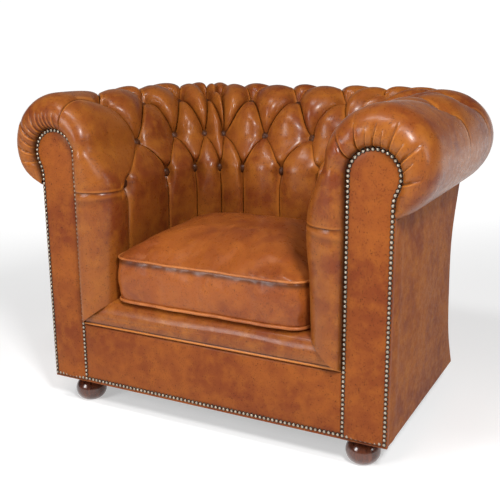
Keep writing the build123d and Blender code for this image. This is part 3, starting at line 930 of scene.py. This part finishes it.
def facings():
    """Padded leather panels nailed to the fronts of the arms."""
    rings = (
        (0, 11.0), (0, 3.0), (0.6, 1.0), (2.0, 0.1), (4.0, 0.3), (5.3, 0.4), (7.5, 0.2), (11, -0.9),
        (18, -2.0), (28, -2.8), (38, -3.1), (46, -3.2),
    )
    nail_inset, nail_shade_width = 5.3, 3.4
    for side, sign in (("left", -1), ("right", 1)):
        loops = []
        for inset, depth in rings:
            bottom = LEATHER_BOTTOM + min(inset, 9.0) * MM
            outline = keyhole_outline(inset * MM, bottom)
            y = np.full(len(outline), FRONT + depth * MM)
            loops.append(np.stack([sign * outline[:, 0], y, outline[:, 1]], axis=-1))
        grid = np.array(loops)
        count = grid.shape[1]
        faces = grid_faces(len(rings), count, closed=True)
        last = (len(rings) - 1) * count
        for k in range(count // 2 - 1):
            across = last + count - 1 - k
            faces.append((last + k, last + k + 1, across - 1, across))
        if sign < 0:
            faces = [face[::-1] for face in faces]
        points = grid.reshape(-1, 3)
        ripple = 0.5 * MM * np.sin(points[:, 2] * 31 + sign) * np.sin(points[:, 2] * 12.7)
        inner = np.repeat([min(1.0, inset / 20) for inset, _ in rings], count)
        points[:, 1] += ripple * inner
        name = f"arm_facing_{side}"
        piece = new_mesh(name + "_leather", points, faces)
        nail_shade = [0.62 * bell(inset - nail_inset, nail_shade_width) for inset, _ in rings]
        shade(piece, "recess", np.repeat(nail_shade, count))
        thicken(piece, LEATHER)
        hand_over(piece, "facing_leather", BODY, name, sharp=70, fill=0.4)


def front_border():
    """Flat leather border below the lip, lightly padded."""
    columns, rows = 90, 30
    width = np.linspace(-FACING_INNER, FACING_INNER, columns + 1)
    share = spaced(rows)
    x, t = np.meshgrid(width, share)
    z = LEATHER_BOTTOM + t * (SEAM_HEIGHT - LEATHER_BOTTOM + 2 * MM)
    ends = np.clip((FACING_INNER - np.abs(x)) / (40 * MM), 0, 1)
    belly = np.clip((z - LEATHER_BOTTOM - 13 * MM) / (40 * MM), 0, 1)
    belly = belly * np.clip((1 - t) / 0.18, 0, 1) ** 0.6
    depth = 0.3 * MM - 4.2 * MM * belly**0.7 * ends**0.5
    depth += 0.7 * MM * np.sin(x * 23 + 2.0) * np.sin(z * 33) * belly
    depth += 6 * MM * np.clip((t - 0.965) / 0.035, 0, 1) ** 2
    depth += 3 * MM * np.clip((0.006 - t) / 0.006, 0, 1)
    depth += 9 * MM * (t <= 0)
    points = np.stack([x, FRONT + depth, z], axis=-1)
    work = Patchwork()
    # painted shade along the nail row near the bottom and under the lip at the top
    nail_line = 0.6 * bell(z - LEATHER_BOTTOM - 10.5 * MM, 4.2 * MM)
    seam = 0.85 * np.clip((t - 0.955) / 0.045, 0, 1)
    work.add(points, np.array([0.0, -1.0, 0.0]), 0.0, np.maximum(nail_line, seam))
    piece = work.mesh("front_border_leather")
    thicken(piece, LEATHER)
    hand_over(piece, "facing_leather", BODY, "front_border", sharp=60, fill=0.3)


def lip_roll():
    """Soft roll along the front edge of the seat platform, with a painted highlight on the seam under it."""
    profile = smooth_curve(
        [
            (0.0, 14, 217), (0.10, 2, 217.5), (0.17, -2.5, 219.5), (0.22, -3.4, 222.5), (0.27, -2.0, 225),
            (0.33, -4.8, 230), (0.45, -8.0, 244), (0.58, -5.5, 260), (0.70, 4.0, 274), (0.82, 19, 282.5),
            (0.92, 38, 285), (1.0, 60, 284),
        ]
    )
    t = np.linspace(0, 1, 61)
    x = np.linspace(-FACING_INNER, FACING_INNER, 91)
    t, x = np.meshgrid(t, x, indexing="ij")
    section = profile(t) * MM
    wander = 1.6 * MM * np.sin(x * 9.0 + 1.0) + 1.0 * MM * np.sin(x * 21.0) * np.sin(t * 5.0)
    body = np.clip((t - 0.28) / 0.2, 0, 1) * np.clip((1 - t) / 0.25, 0, 1)
    crease = 1.3 * MM * bell(t - 0.50 - 0.05 * np.sin(x * 6), 0.018)
    crease = crease * np.clip(np.sin(x * 5 + 2.2), 0, 1)
    depth = section[..., 0] + wander * body + crease
    points = np.stack([x, FRONT + depth, section[..., 1] + 0.4 * wander * body], axis=-1)
    # painted highlight on the seam bead; painted shade in the groove just above it and along the
    # tucked-under bottom
    rub = 0.9 * bell(t - 0.215, 0.035)
    recess = 0.9 * bell(t - 0.285, 0.02) + 0.9 * np.clip(1 - t / 0.12, 0, 1)
    work = Patchwork()
    work.add(points, np.array([0.0, -1.0, 0.45]), rub, recess)
    piece = work.mesh("platform_lip_leather")
    thicken(piece, LEATHER)
    hand_over(piece, "tan_leather", BODY, "platform_lip", sharp=70, fill=0.7)


# ------------------------------------------------------------------ outside panels
BACK_LINE = ((65, 545), (140, 507), (290, 480), (420, 481), (544.7, 532))
back_line = smooth_curve([(z * MM, depth * MM, 0.0) for z, depth in BACK_LINE])
CORNER_ROUND = 16 * MM


def outside_arms():
    """Plain outside arm panels, wrapped round the rear corners on to the back."""
    start = 12 * MM
    plain = FACING_OUTER - 1.5 * MM
    for side, sign in (("left", -1), ("right", 1)):
        z = np.linspace(LEATHER_BOTTOM, UNDERSIDE, 49)
        end = back_line(z)[:, 0] - CORNER_ROUND
        flat = np.linspace(0, 1, 41)
        turn = np.linspace(0, 1, 13)[1:]
        rows = []
        for height, far in zip(z, end):
            depth = start + flat * (far - start)
            t = (height - LEATHER_BOTTOM) / (UNDERSIDE - LEATHER_BOTTOM)
            crown = 3.2 * MM * math.sin(math.pi * t) ** 0.7
            soft = crown * np.sin(np.pi * np.clip(flat, 0, 1)) ** 0.6
            waves = np.sin(depth * 26 + 2.1) * np.sin(height * 3.1 + depth * 4)
            soft = soft + 0.9 * MM * waves * math.sin(math.pi * t)
            welt = 1.8 * MM * bell(depth - 44 * MM, 9 * MM) * (t < 0.985)
            x = plain + soft + welt * min(1.0, 6 * (1 - t))
            row = list(zip(x, depth))
            for share in turn:
                a = share * math.pi / 2
                into = CORNER_ROUND * (1 - math.cos(a))
                row.append((plain - into, far + CORNER_ROUND * math.sin(a)))
            row.append((plain - CORNER_ROUND - 10 * MM, far + CORNER_ROUND))
            rows.append([(sign * x, FRONT + depth, height) for x, depth in row])
        points = np.array(rows)
        work = Patchwork()
        work.add(points, np.array([sign, 0.2, 0.0]))
        piece = work.mesh(f"outside_arm_leather_{side}")
        thicken(piece, LEATHER)
        nodes = (f"outside_arm_{side}",)
        hand_over(piece, "tan_leather", BODY, *nodes, sharp=60, fill=0.2, look=OUTSIDE_LEATHER)


def outside_back():
    """Hollow outside back, drawn in at the waist and tacked under the roll."""
    half = FACING_OUTER - CORNER_ROUND - 8 * MM
    z = np.linspace(LEATHER_BOTTOM, UNDERSIDE, 49)
    x = np.linspace(-half, half, 61)
    z, x = np.meshgrid(z, x, indexing="ij")
    t = (z - LEATHER_BOTTOM) / (UNDERSIDE - LEATHER_BOTTOM)
    edge = np.clip((half - np.abs(x)) / (26 * MM), 0, 1)
    depth = back_line(z)[..., 0] + 1.6 * MM * np.sin(np.pi * edge / 2)
    depth = depth + 1.2 * MM * np.sin(x * 14 + 0.6) * np.sin(z * 11) * np.sin(np.pi * t)
    depth = depth - 2.2 * MM * bell(edge - 0.12, 0.06)
    points = np.stack([x, FRONT + depth, z], axis=-1)
    work = Patchwork()
    # painted shade in the groove near each side edge
    work.add(points, np.array([0.0, 1.0, 0.0]), 0.0, 0.5 * bell(edge - 0.12, 0.05))
    piece = work.mesh("outside_back_leather")
    thicken(piece, LEATHER)
    hand_over(piece, "tan_leather", BODY, "outside_back", sharp=60, fill=0.2, look=OUTSIDE_LEATHER)


# ------------------------------------------------------------------ seat cushion
CUSHION_LOW, CUSHION_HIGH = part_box("cushion_cover")
CUSHION_HALF = CUSHION_HIGH.x
CUSHION_FRONT, CUSHION_BACK = CUSHION_LOW.y, CUSHION_HIGH.y
CUSHION_EDGE_TOP = 393 * MM
CUSHION_CROWN = 460 * MM
CUSHION_EDGE_LOW = CUSHION_LOW.z + 7 * MM
FRONT_CORNER, REAR_CORNER = 42 * MM, 100 * MM
WELT_RADIUS = 4 * MM


def cushion_plan(outset, side_count):
    """Closed outline (x, y), side_count points a side, from the middle of the left front corner."""
    half = CUSHION_HALF + outset
    front, back = CUSHION_FRONT - outset, CUSHION_BACK + outset
    path = []
    for cx, cy, radius, first in (
        (-half + FRONT_CORNER, front + FRONT_CORNER, FRONT_CORNER, 225),
        (half - FRONT_CORNER, front + FRONT_CORNER, FRONT_CORNER, 270),
        (half - REAR_CORNER, back - REAR_CORNER, REAR_CORNER, 0),
        (-half + REAR_CORNER, back - REAR_CORNER, REAR_CORNER, 90),
        (-half + FRONT_CORNER, front + FRONT_CORNER, FRONT_CORNER, 180),
    ):
        sweep_angle = 45 if first in (225, 180) else 90
        for a in np.radians(np.linspace(first, first + sweep_angle, 25)):
            path.append((cx + radius * math.cos(a), cy + radius * math.sin(a)))
    path = np.array(path)
    steps = np.linalg.norm(np.diff(path, axis=0), axis=1)
    length = np.concatenate([[0], np.cumsum(steps)])
    corners = [0]
    for x, y in ((half, front), (half, back), (-half, back)):
        corners.append(length[np.argmin(np.hypot(path[:, 0] - x, path[:, 1] - y))])
    corners.append(length[-1])
    out = []
    for a, b in zip(corners[:-1], corners[1:]):
        at = np.linspace(a, b, side_count, endpoint=False)
        out += list(zip(np.interp(at, length, path[:, 0]), np.interp(at, length, path[:, 1])))
    return np.array(out)


def cushion_mesh(side_count=48, border_rows=12):
    """Boxed cushion as rings: bottom panel, border, crowned top panel."""
    outline = cushion_plan(0.0, side_count)
    count = len(outline)
    middle = np.array([0.0, (CUSHION_FRONT + CUSHION_BACK) / 2])
    half_rings = side_count // 2
    rings, pins = [], []
    shares = [k / half_rings for k in range(1, half_rings + 1)]
    for share in shares:
        plan = middle + share * (outline - middle)
        z = CUSHION_LOW.z + 1 * MM + 6 * MM * np.clip((share - 0.86) / 0.14, 0, 1) ** 2
        rings.append(np.column_stack([plan, np.full(count, z)]))
        pins.append(1.0)
    for k in range(1, border_rows):
        t = k / border_rows
        puff = 5 * MM * math.sin(math.pi * t) ** 0.8
        z = np.full(count, CUSHION_EDGE_LOW + t * (CUSHION_EDGE_TOP - CUSHION_EDGE_LOW))
        rings.append(np.column_stack([cushion_plan(puff, side_count), z]))
        pins.append(0.0)
    for share in reversed(shares):
        plan = middle + share * (outline - middle)
        crown = (CUSHION_CROWN - CUSHION_EDGE_TOP) * (1 - share**3.6) ** 0.9
        rear = np.clip((plan[:, 1] - CUSHION_FRONT) / (CUSHION_BACK - CUSHION_FRONT), 0, 1)
        fullness = 0.62 + 0.38 * np.sin(np.pi * np.clip(rear / 1.45, 0, 1)) ** 0.8
        rings.append(np.column_stack([plan, CUSHION_EDGE_TOP + crown * fullness]))
        pins.append(1.0 if share == 1 else 0.0)
    points = np.concatenate(rings)
    faces = grid_faces(len(rings), count, closed=True)
    top_start = (len(rings) - 1) * count
    caps = ((0, CUSHION_LOW.z + 1 * MM, True), (top_start, CUSHION_CROWN, False))
    extra = []
    for ring_start, z, low in caps:
        centre = len(points) + len(extra)
        extra.append((*middle, z))
        for j in range(count):
            face = (ring_start + j, ring_start + (j + 1) % count, centre)
            faces.append(face[::-1] if low else face)
    points = np.concatenate([points, np.array(extra)])
    pins = np.concatenate([np.repeat(pins, count), [1.0, 0.0]])
    seams = ((half_rings - 1) * count, (half_rings - 1 + border_rows) * count)
    return points, faces, pins, seams, count


def inflate(piece, pins, frames, pressure, shrink, limit):
    """Fill the cushion by cloth simulation and keep the result, no vertex moving more than limit."""
    rest = np.array([v.co for v in piece.data.vertices])
    group = piece.vertex_groups.new(name="seams")
    for index, weight in enumerate(pins):
        if weight > 0:
            group.add([index], float(weight), "REPLACE")
    cloth = piece.modifiers.new("filling", "CLOTH")
    settings = cloth.settings
    settings.vertex_group_mass = "seams"
    settings.quality = 6
    settings.mass = 0.4
    settings.tension_stiffness = 25
    settings.compression_stiffness = 25
    settings.shear_stiffness = 12
    settings.bending_stiffness = 1.2
    settings.use_pressure = True
    settings.uniform_pressure_force = pressure
    settings.shrink_min = shrink
    settings.effector_weights.gravity = 0.0
    cloth.collision_settings.use_collision = False
    scene = bpy.context.scene
    cloth.point_cache.frame_start = 1
    cloth.point_cache.frame_end = frames
    for step in range(1, frames + 1):
        scene.frame_set(step)
    graph = bpy.context.evaluated_depsgraph_get()
    shown = piece.evaluated_get(graph).to_mesh()
    moved = np.array([v.co for v in shown.vertices])
    piece.evaluated_get(graph).to_mesh_clear()
    piece.modifiers.clear()
    scene.frame_set(1)
    shift = moved - rest
    far = np.linalg.norm(shift, axis=1, keepdims=True)
    shift *= np.minimum(1.0, limit / np.maximum(far, 1e-9))
    piece.data.vertices.foreach_set("co", (rest + shift).ravel())
    piece.data.update()


def tube(path, radius, turns=12):
    """Closed round tube along a closed path."""
    path = np.asarray(path)
    ahead = np.roll(path, -1, axis=0) - np.roll(path, 1, axis=0)
    ahead /= np.linalg.norm(ahead, axis=1)[:, None]
    side = np.cross(ahead, [0.0, 0.0, 1.0])
    side /= np.linalg.norm(side, axis=1)[:, None]
    up = np.cross(side, ahead)
    angles = np.arange(turns) / turns * 2 * np.pi
    rings = [path + radius * (math.cos(a) * side + math.sin(a) * up) for a in angles]
    grid = np.array(rings).transpose(1, 0, 2)
    count = len(path)
    faces = []
    for i in range(count):
        for j in range(turns):
            k, m = (i + 1) % count, (j + 1) % turns
            faces.append((i * turns + j, i * turns + m, k * turns + m, k * turns + j))
    return grid.reshape(-1, 3), faces


def seat_cushion():
    points, faces, pins, seams, count = cushion_mesh()
    piece = new_mesh("seat_cushion_cover", points, faces)
    inflate(piece, pins, frames=20, pressure=2.2, shrink=-0.012, limit=9 * MM)
    wrinkle_cushion(piece)
    place = np.array([v.co for v in piece.data.vertices])
    # painted shade on the border just below the top welt
    near = np.minimum(np.abs(place[:, 2] - CUSHION_EDGE_TOP + 7 * MM) / (4 * MM), 3)
    on_border = np.zeros(len(place))
    on_border[seams[0] : seams[1] + count] = 1
    shade(piece, "recess", 0.8 * bell(near, 1) * on_border)
    soften(piece)
    hand_over(piece, "seat_leather", CUSHION_BODY, "cushion_cover", "cushion_core", fill=0.8)
    rings, ring_faces = [], []
    for start, radius in zip(seams, (WELT_RADIUS, 0.75 * WELT_RADIUS)):
        line = points[start : start + count].copy()
        outward = line[:, :2] - np.array([0.0, (CUSHION_FRONT + CUSHION_BACK) / 2])
        outward /= np.linalg.norm(outward, axis=1)[:, None]
        line[:, :2] += 2.2 * MM * outward
        along = np.arange(count) / count
        line[:, 2] += 0.6 * MM * np.sin(18 * np.pi * along) + 0.4 * MM * np.sin(46 * np.pi * along)
        tube_points, tube_faces = tube(line, radius)
        shift = sum(len(r) for r in rings)
        ring_faces += [tuple(v + shift for v in face) for face in tube_faces]
        rings.append(tube_points)
    piping = new_mesh("seat_cushion_welts", np.concatenate(rings), ring_faces)
    soften(piping)
    hand_over(piping, "piping_leather", CUSHION_BODY, "cushion_piping")


def wrinkle_cushion(piece):
    """Puckers along the border seams and shallow creases on the crown."""
    mesh = piece.data
    place = np.array([v.co for v in mesh.vertices])
    normal = np.array([v.normal for v in mesh.vertices])
    t = np.clip((place[:, 2] - CUSHION_EDGE_LOW) / (CUSHION_EDGE_TOP - CUSHION_EDGE_LOW), 0, 1)
    x, y, z = place.T
    on_side = (z > CUSHION_EDGE_LOW + 1 * MM) & (z < CUSHION_EDGE_TOP - 1 * MM)
    low_corner = bell(np.abs(x) - CUSHION_HALF + 12 * MM, 34 * MM) * bell(t, 0.28)
    pucker = 0.35 * MM * np.sin(x * 190 + np.arctan2(y, x) * 9) * bell(t, 0.2)
    pucker += 2.2 * MM * low_corner * np.sin(z * 520 + x * 60)
    pucker += 0.8 * MM * np.sin(x * 37 + z * 24) * np.sin(np.pi * t)
    waves = 1.3 * MM * np.sin(x * 15 + 3 * np.sin(y * 8)) * np.sin(y * 19 + 1)
    waves = waves * np.clip((z - CUSHION_EDGE_TOP) / (20 * MM), 0, 1)
    shift = np.where(on_side, pucker, waves)
    mesh.vertices.foreach_set("co", (place + shift[:, None] * normal).ravel())
    mesh.update()


# ------------------------------------------------------------------ studio
def look_along(azimuth, elevation, roll, location):
    """Camera matrix: azimuth turns it left from looking along +Y, elevation tips it down."""
    t, p, r = math.radians(azimuth), math.radians(elevation), math.radians(roll)
    ahead = Vector((-math.sin(t) * math.cos(p), math.cos(t) * math.cos(p), -math.sin(p)))
    right = Vector((math.cos(t), math.sin(t), 0.0))
    up = right.cross(ahead)
    turned_right = right * math.cos(r) + up * math.sin(r)
    turned_up = up * math.cos(r) - right * math.sin(r)
    matrix = Matrix((turned_right, turned_up, -ahead)).transposed().to_4x4()
    matrix.translation = location
    return matrix


def camera():
    data = bpy.data.cameras.new("camera")
    data.sensor_width = 36.0
    data.lens = 59.21
    made = bpy.data.objects.new("camera", data)
    bpy.context.scene.collection.objects.link(made)
    made.matrix_world = look_along(27.604, 14.690, -0.465, Vector((0.8974, -1.8004, 0.8939)))
    bpy.context.scene.camera = made


def softbox(name, azimuth, elevation, distance, size, power):
    """Area light aimed at the chair's middle; azimuth 0 is straight in front, 90 to the right."""
    data = bpy.data.lights.new(name, "AREA")
    data.shape = "RECTANGLE"
    data.size, data.size_y = size
    data.energy = power
    made = bpy.data.objects.new(name, data)
    bpy.context.scene.collection.objects.link(made)
    a, e = math.radians(azimuth), math.radians(elevation)
    back = Vector((math.sin(a) * math.cos(e), -math.cos(a) * math.cos(e), math.sin(e)))
    target = Vector((0.0, 0.0, 0.45))
    made.location = target + back * distance
    made.rotation_mode = "QUATERNION"
    made.rotation_quaternion = back.to_track_quat("Z", "Y")


def studio():
    """Pale floor, a backdrop that is light only behind the chair and near the floor, four lights."""
    reach = 9.0
    corners = [(-reach, -reach, 0), (reach, -reach, 0), (reach, reach, 0), (-reach, reach, 0)]
    floor = new_mesh("floor", corners, [(0, 1, 2, 3)])
    floor.data.materials.append(painted_floor("floor_paint"))
    world = bpy.data.worlds.new("studio")
    bpy.context.scene.world = world
    n = Nodes(world, "Background", "Generated")
    behind = n.remap(n.along(AWAY), 0.62, 0.90, 0.36, 1.05)
    near_floor = n.remap(n.along(UP), 0.05, 0.14, 1.0, 0.22)
    n.link(n.math("MULTIPLY", behind, near_floor), n.shader.inputs["Strength"])
    n.set(Color=(1.0, 1.0, 1.0, 1.0))
    softbox("key", 42, 36, 2.9, (0.40, 0.5), 60)
    softbox("side", 80, 20, 2.8, (0.6, 1.1), 12)
    softbox("overhead", -10, 62, 2.6, (1.3, 0.35), 28)
    softbox("window", -24, 18, 3.0, (0.8, 1.2), 40)
    bpy.context.scene.view_settings.view_transform = "Standard"


camera()
studio()
dress_frame()
tufted_covers()
covered_buttons()
facings()
front_border()
lip_roll()
outside_arms()
outside_back()
seat_cushion()
